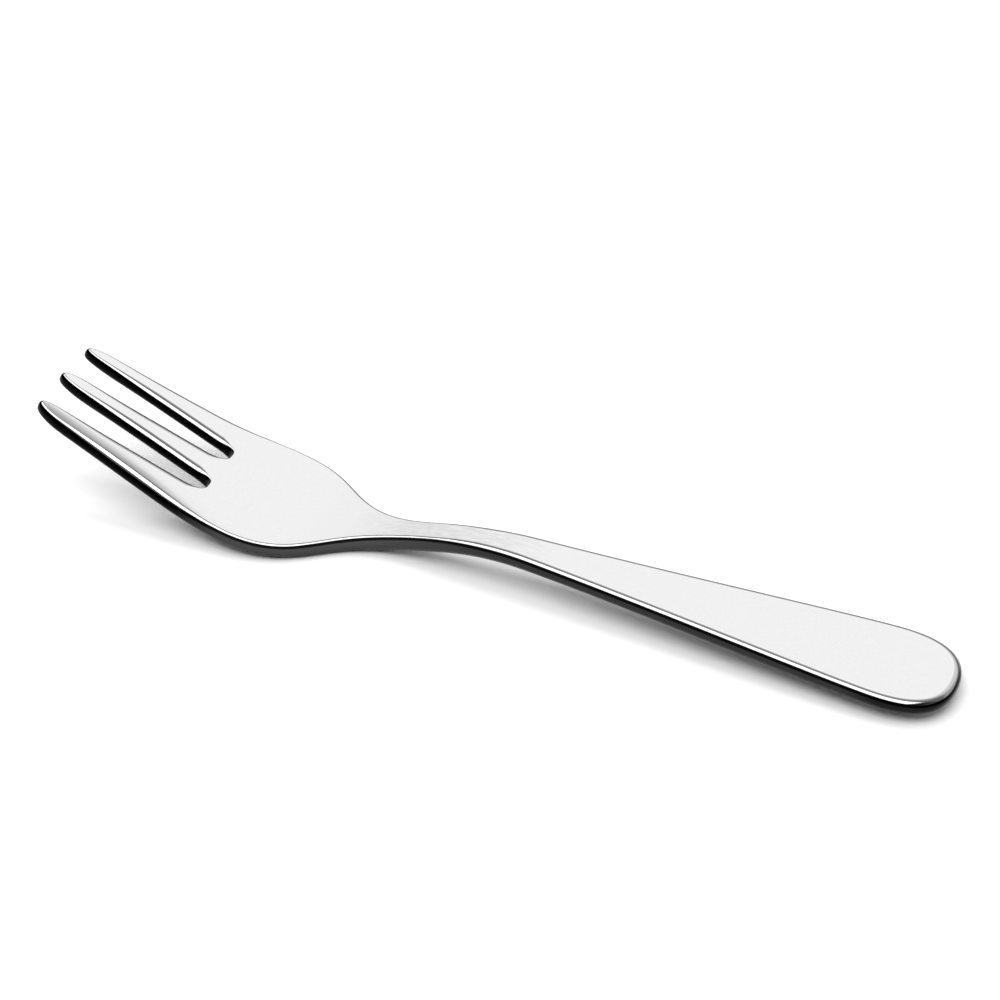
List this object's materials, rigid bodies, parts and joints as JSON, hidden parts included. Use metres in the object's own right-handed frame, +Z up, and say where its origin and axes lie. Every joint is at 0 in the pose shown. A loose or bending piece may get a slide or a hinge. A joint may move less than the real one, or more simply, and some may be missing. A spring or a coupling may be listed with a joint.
{
  "type": "baby fork",
  "caption": "Small polished-steel fork for a child: flat handle with a rounded end, slim arched neck and a gently crowned head whose tapering tines rise to rounded tips.",
  "frame": {"origin": "middle of the fork's length and width, on the table that it rests on", "axes": "+X along the fork from the tine tips to the end of the handle, +Y across it, +Z up from the table"},
  "size_m": [0.1522, 0.0244, 0.0172],
  "materials": {
    "polished_steel": "polished"
  },
  "bodies": {
    "root": {"fork": "polished_steel"}
  },
  "joints": []
}
